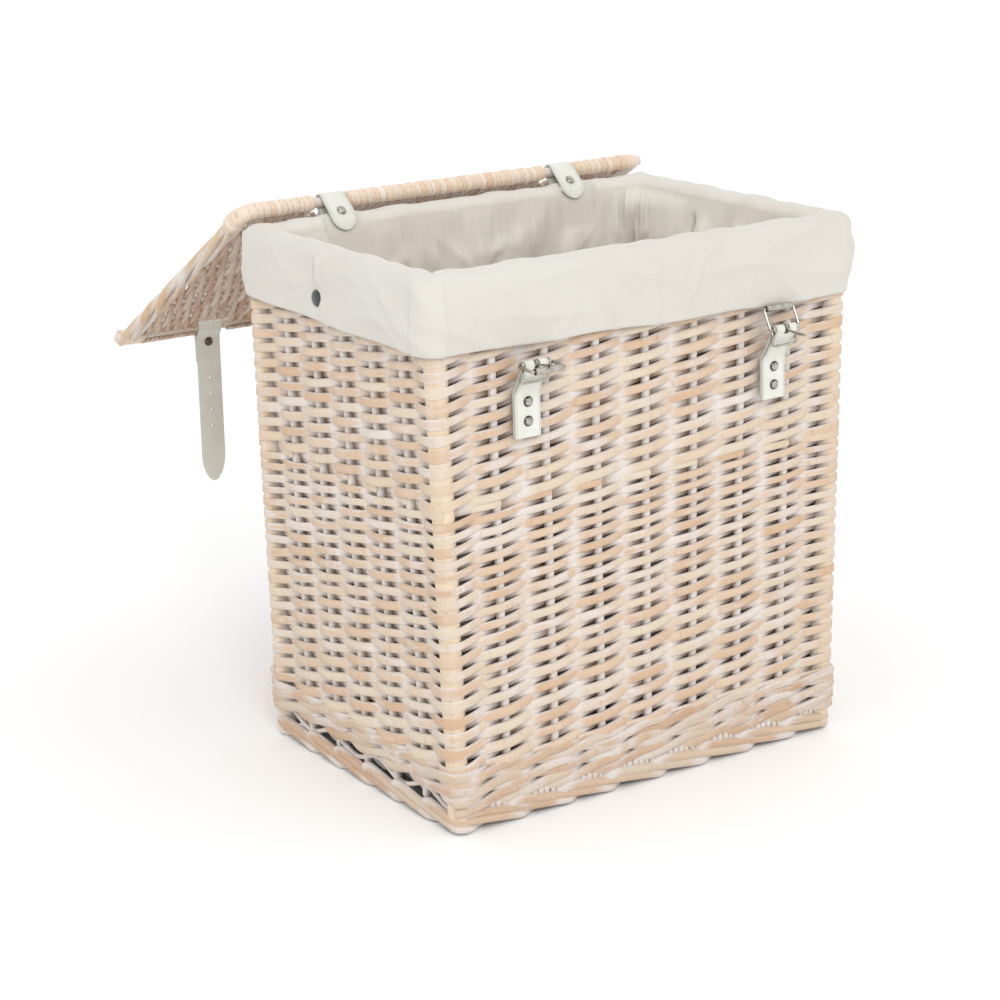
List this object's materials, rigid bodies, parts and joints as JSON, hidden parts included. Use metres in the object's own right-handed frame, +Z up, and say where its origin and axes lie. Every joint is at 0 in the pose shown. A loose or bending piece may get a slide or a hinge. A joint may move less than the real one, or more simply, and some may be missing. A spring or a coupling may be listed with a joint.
{
  "type": "woven laundry basket",
  "caption": "Rectangular woven willow laundry hamper with a turned-over cloth lining, a hinged woven lid and leather strap-and-buckle closures.",
  "frame": {"origin": "centre of the foot's footprint on the floor", "axes": "+Z up, +X along the long front seen from the front, -Y out of the front face that carries the buckles, +Y towards the lid's hinge"},
  "size_m": [0.4701, 0.629, 0.5161],
  "materials": {
    "willow": "matte",
    "willow_rod": "matte",
    "willow_skein": "satin",
    "cotton": "matte",
    "leather": "satin",
    "nickel": "polished",
    "stud_black": "gloss"
  },
  "bodies": {
    "root": {"foot_border": "willow", "base_weave": "willow", "base_sticks": "willow_rod", "waling_band": "willow", "siding_lower": "willow", "siding_upper": "willow", "rim_border": "willow", "stakes": "willow_rod", "corner_posts": "willow_rod", "liner": "cotton", "liner_floor": "cotton", "liner_stud_cap": "stud_black", "liner_stud_socket": "stud_black", "hinge_strap_left": "leather", "hinge_strap_right": "leather", "hinge_rivets": "nickel", "rivet_burrs": "nickel", "buckle_tab_left": "leather", "buckle_tab_right": "leather", "buckle_rivets_left": "nickel", "buckle_rivets_right": "nickel"},
    "lid": {"lid_hinge_rod": "willow_rod", "lid_hinge_wrap": "willow_skein", "lid_front_rod": "willow_rod", "lid_sticks": "willow_rod", "lid_panel": "willow", "lid_border_left": "willow", "lid_border_right": "willow"},
    "strap_left": {"closing_strap_left": "leather", "closing_strap_rivet_left": "nickel"},
    "strap_right": {"closing_strap_right": "leather", "closing_strap_rivet_right": "nickel"},
    "frame_left": {"buckle_frame_left": "nickel"},
    "roller_left": {"buckle_roller_left": "nickel"},
    "prong_left": {"buckle_prong_left": "nickel"},
    "keeper_left": {"buckle_keeper_left": "nickel"},
    "frame_right": {"buckle_frame_right": "nickel"},
    "roller_right": {"buckle_roller_right": "nickel"},
    "prong_right": {"buckle_prong_right": "nickel"},
    "keeper_right": {"buckle_keeper_right": "nickel"}
  },
  "joints": [
    {"name": "lid_hinge", "type": "hinge", "parent": "root", "child": "lid", "pos_m": [0, 0.1606, 0.5083], "axis": [1, 0, 0], "range_deg": [0, 212]},
    {"name": "strap_left_swing", "type": "hinge", "parent": "lid", "child": "strap_left", "pos_m": [-0.132, 0.41756, 0.34586], "axis": [1, 0, 0], "range_deg": [-25, 75]},
    {"name": "strap_right_swing", "type": "hinge", "parent": "lid", "child": "strap_right", "pos_m": [0.132, 0.41756, 0.34586], "axis": [1, 0, 0], "range_deg": [-25, 75]},
    {"name": "frame_left_tilt", "type": "hinge", "parent": "root", "child": "frame_left", "pos_m": [-0.136, -0.171, 0.415], "axis": [1, 0, 0], "range_deg": [-65, 0]},
    {"name": "roller_left_spin", "type": "hinge", "parent": "frame_left", "child": "roller_left", "pos_m": [-0.136, -0.19097, 0.41395], "axis": [1, 0, 0], "continuous": true},
    {"name": "prong_left_lift", "type": "hinge", "parent": "frame_left", "child": "prong_left", "pos_m": [-0.136, -0.171, 0.415], "axis": [1, 0, 0], "range_deg": [-30, 0]},
    {"name": "keeper_left_swing", "type": "hinge", "parent": "root", "child": "keeper_left", "pos_m": [-0.136, -0.171, 0.415], "axis": [1, 0, 0], "range_deg": [-60, 8]},
    {"name": "frame_right_tilt", "type": "hinge", "parent": "root", "child": "frame_right", "pos_m": [0.136, -0.1745, 0.4075], "axis": [1, 0, 0], "range_deg": [0, 95]},
    {"name": "roller_right_spin", "type": "hinge", "parent": "frame_right", "child": "roller_right", "pos_m": [0.136, -0.16511, 0.42516], "axis": [1, 0, 0], "continuous": true},
    {"name": "prong_right_lift", "type": "hinge", "parent": "root", "child": "prong_right", "pos_m": [0.136, -0.1745, 0.4075], "axis": [1, 0, 0], "range_deg": [-100, 0]},
    {"name": "keeper_right_swing", "type": "hinge", "parent": "root", "child": "keeper_right", "pos_m": [0.136, -0.1745, 0.4075], "axis": [1, 0, 0], "range_deg": [-60, 8]}
  ]
}
